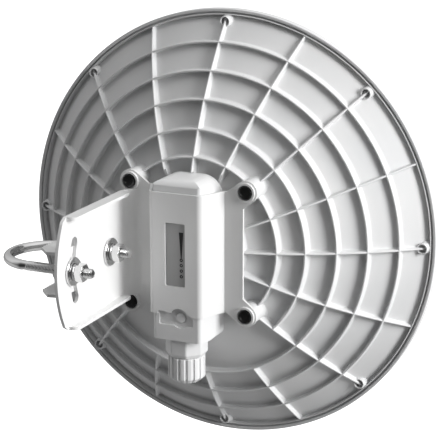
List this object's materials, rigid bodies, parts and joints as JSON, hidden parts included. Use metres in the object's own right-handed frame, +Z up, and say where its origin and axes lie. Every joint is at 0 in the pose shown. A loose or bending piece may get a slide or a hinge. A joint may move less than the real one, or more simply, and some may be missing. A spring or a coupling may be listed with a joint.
{
  "type": "outdoor wireless bridge",
  "caption": "Outdoor point-to-point radio bridge: ribbed dish antenna with radome, radio housing with cable gland, and a tilting side bracket clamped to a pole by a U-bolt.",
  "frame": {"origin": "on the axis of the pole that the clamp grips, at the height of the dish's axis", "axes": "+Z up along the pole, +Y along the dish's boresight at rest, +X from the pole towards the dish"},
  "size_m": [0.366, 0.252, 0.366],
  "materials": {
    "white_plastic": "satin, lightly textured",
    "white_paint": "satin powder coat",
    "grey_label": "printed film",
    "clear_plastic": "clear, polished",
    "black_steel": "black oxide",
    "stainless": "bright",
    "aluminium": "as turned",
    "black_rubber": "matte",
    "board_green": "solder mask",
    "tin": "tinned",
    "black_plastic": "matte"
  },
  "bodies": {
    "pole_clamp": {"v_clamp": "white_paint", "flat_washer_1": "stainless", "flat_washer_2": "stainless", "spring_washer_1": "stainless", "spring_washer_2": "stainless"},
    "antenna": {"dish_reflector": "white_plastic", "radome": "white_plastic", "radome_gasket": "black_rubber", "radome_screw_1": "stainless", "radome_screw_2": "stainless", "radome_screw_3": "stainless", "radome_screw_4": "stainless", "radome_screw_5": "stainless", "radome_screw_6": "stainless", "radome_screw_7": "stainless", "radome_screw_8": "stainless", "feed_tube": "aluminium", "feed_plug": "white_plastic", "sub_reflector": "aluminium", "housing_rear": "white_plastic", "housing_front": "white_plastic", "housing_seal": "black_rubber", "housing_screw_1": "stainless", "housing_screw_2": "stainless", "housing_screw_3": "stainless", "housing_screw_4": "stainless", "circuit_board": "board_green", "shield_can": "tin", "ethernet_jack": "tin", "light_guide": "clear_plastic", "signal_label": "grey_label", "reset_switch": "black_plastic", "button_board": "board_green", "gland_body": "white_plastic", "gland_oring": "black_rubber", "gland_seal": "black_rubber", "bracket": "white_paint", "bracket_bolt_1": "black_steel", "bracket_bolt_2": "black_steel", "bracket_bolt_3": "black_steel", "bracket_bolt_4": "black_steel"},
    "u_bolt": {"u_bolt": "stainless"},
    "nut_1": {"hex_nut_1": "stainless"},
    "nut_2": {"hex_nut_2": "stainless"},
    "reset_button": {"reset_button": "white_plastic"},
    "gland_ring": {"gland_ring": "black_plastic"},
    "gland_nut": {"gland_nut": "white_plastic"}
  },
  "joints": [
    {"name": "antenna_tilt", "type": "hinge", "parent": "pole_clamp", "child": "antenna", "pos_m": [0.042, 0.0306, 0], "axis": [1, 0, 0], "range_deg": [-20, 20]},
    {"name": "u_bolt_draw", "type": "slide", "parent": "pole_clamp", "child": "u_bolt", "axis": [1, 0, 0], "range_m": [-0.006, 0.015]},
    {"name": "nut_1_turn", "type": "hinge", "parent": "pole_clamp", "child": "nut_1", "pos_m": [0.0497, 0.0306, 0], "axis": [1, 0, 0], "range_deg": [-4320.5, 1728.5]},
    {"name": "nut_2_turn", "type": "hinge", "parent": "pole_clamp", "child": "nut_2", "pos_m": [0.0497, -0.0305, 0], "axis": [1, 0, 0], "range_deg": [-4320.5, 1728.5]},
    {"name": "reset_button_press", "type": "slide", "parent": "antenna", "child": "reset_button", "axis": [0, 1, 0], "range_m": [0, 0.001], "stiffness_N_per_m": 800, "springref_m": -0.0005},
    {"name": "gland_nut_travel", "type": "slide", "parent": "antenna", "child": "gland_ring", "axis": [0, 0, -1], "range_m": [0, 0.01]},
    {"name": "gland_nut_turn", "type": "hinge", "parent": "gland_ring", "child": "gland_nut", "pos_m": [0.094, 0.0627, -0.0988], "axis": [0, 0, -1], "range_deg": [0, 1800.5]}
  ],
  "couplings": [
    {"joint": "nut_1_turn", "follows": "u_bolt_draw", "rad_per_m": -5026.5},
    {"joint": "nut_2_turn", "follows": "u_bolt_draw", "rad_per_m": -5026.5},
    {"joint": "gland_nut_turn", "follows": "gland_nut_travel", "rad_per_m": 3141.6}
  ]
}
